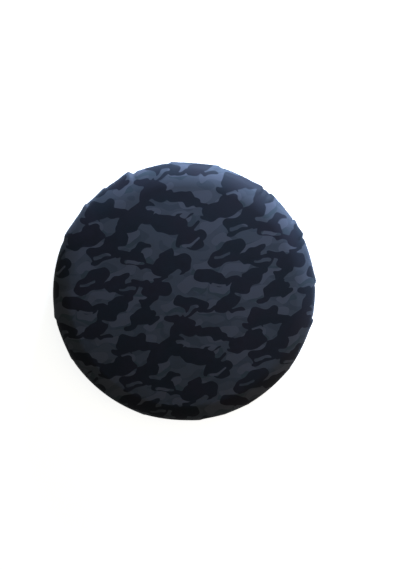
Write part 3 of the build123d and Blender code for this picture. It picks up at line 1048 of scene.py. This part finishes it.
def dress(finish, *nodes):
    """Gives a fixed model's nodes their finish."""
    for node in nodes:
        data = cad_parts[node].data
        data.materials.clear()
        data.materials.append(finish.material)


dress(valve_finish, "valve_base", "valve_cap")
dress(rubber_finish, "check_flap", "cap_seal")
dress(pin_finish, "cap_hinge_pin")
dress(elastic_finish, "hem_elastic")
dress(vinyl_finish, "tie_ring_inner", "tie_ring_middle", "tie_ring_outer")
dress(buckle_finish, "strap_plug_1", "strap_plug_2", "strap_plug_3", "strap_plug_4")

# %% [markdown]
# ## Hold-down straps
#
# Four straps hang from the side. Each is 25 mm webbing that comes out from under a sewn patch, goes round
# the bar of its buckle plug, and is sewn back on itself. Webbing is too stiff and too narrow for a cloth
# simulation to be worth it: a ribbon along the right path is exactly what it is.

# %% Four patches, straps and their stitches
STRAP_WIDTH, PATCH_WIDTH, WEBBING = 0.025, 0.0435, 0.0014
PATCH_SPAN = (0.0048, 0.0318)  # below the rim seam
BOX_HALF, BOX_TOP, BOX_LOW = 0.0095, 0.0785, 0.0735  # the square of stitches that closes the webbing's loop
strap_middle, strap_top, loop_top = 0.982, 0.088, 0.072
bar_out, bar_height, loop_radius = 0.9842, 0.052, 0.0022


def strap_path():
    """The webbing's middle line as (distance out, height): down the inner side, round the bar, back up."""
    path = [(strap_middle, strap_top + 0.0004), (strap_middle, 0.080)]
    path += [(bar_out - loop_radius, loop_top - 0.004), (bar_out - loop_radius, bar_height + 0.004)]
    for k in range(9):
        a = math.pi + math.pi * k / 8
        path.append((bar_out + loop_radius * math.cos(a), bar_height + loop_radius * math.sin(a)))
    path += [(bar_out + loop_radius, bar_height + 0.006), (bar_out + loop_radius * 0.9, loop_top - 0.010)]
    sewn_on = bar_out - loop_radius + WEBBING
    path += [(sewn_on + 0.0003, loop_top + 0.001), (sewn_on + 0.0002, 0.0795)]
    return path


for i in range(4):
    angle = math.pi / 4 + math.pi / 2 * i
    outward = np.array([math.cos(angle), math.sin(angle), 0.0])
    along_rim = np.array([-math.sin(angle), math.cos(angle), 0.0])
    line = np.array([outward * o + (0, 0, h) for o, h in strap_path()])
    side = np.broadcast_to(along_rim, line.shape)
    face = np.cross(unit(np.gradient(line, axis=0)), side)
    strap = ribbon(
        f"strap_webbing_{i + 1}", line, side, face, STRAP_WIDTH - 0.0004, WEBBING - 0.0002, webbing_finish
    )
    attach(strap, f"strap_{i + 1}")
    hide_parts(f"strap_{i + 1}")
    sewn_at = bar_out - loop_radius + 2 * WEBBING + 0.0002
    corners = ((-1, BOX_TOP), (1, BOX_TOP), (1, BOX_LOW), (-1, BOX_LOW), (-1, BOX_TOP))
    box = [(x * BOX_HALF, z) for x, z in corners]
    rows = []
    for (x0, z0), (x1, z1) in zip(box, box[1:]):
        ends = [outward * sewn_at + along_rim * x + np.array([0, 0, z]) for x, z in ((x0, z0), (x1, z1))]
        rows.append((ends, [outward, outward]))
    strap_stitches = stitch_rows(f"strap_stitches_{i + 1}", rows, length=0.0028, gap=0.001)
    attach(strap_stitches, f"strap_{i + 1}")

    down = np.linspace(seam_at + PATCH_SPAN[0], seam_at + PATCH_SPAN[1], 14)
    middle, across, facing = side_line(down, angle, 0.0007)
    patch = ribbon(f"strap_patch_{i + 1}", middle, across, facing, PATCH_WIDTH, 0.0012, webbing_finish)
    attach(patch, "lid")
    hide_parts(f"strap_anchor_{i + 1}")
    sewn = middle + facing * 0.0006
    half = PATCH_WIDTH / 2 - 0.0025
    edge = [(sewn[1:-1] + across[1:-1] * side, facing[1:-1]) for side in (-half, half)]
    edge += [(sewn[[k, k]] + across[[k, k]] * [[-half], [half]], facing[[k, k]]) for k in (1, -2)]
    patch_stitches = stitch_rows(f"patch_stitches_{i + 1}", edge, length=0.0030, gap=0.0012)
    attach(patch_stitches, "lid")
print("four straps of", STRAP_WIDTH * 1000, "mm webbing")

# %% [markdown]
# ## The care label
#
# A small woven label is caught in the hem. It is left blank, and it lies a little curled.

# %% Blank label
LABEL_WIDTH, LABEL_LENGTH = 0.030, 0.042
LABEL_CURL = 0.0016
label_angle = math.radians(246.0)
inward = -np.array([math.cos(label_angle), math.sin(label_angle), 0.0])
beside = np.array([-inward[1], inward[0], 0.0])
start = -inward * (hem_inner + 0.002) + np.array([0, 0, 0.0035])
steps = np.linspace(0, LABEL_LENGTH, 16)
line = np.array([start + inward * s + np.array([0, 0, LABEL_CURL * math.sin(s * 70)]) for s in steps])
side = np.broadcast_to(beside, line.shape)
face = np.cross(unit(np.gradient(line, axis=0)), side)
label = ribbon("care_label_cloth", line, side, face, LABEL_WIDTH, 0.0005, label_finish)
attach(label, "lid")
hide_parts("care_label")
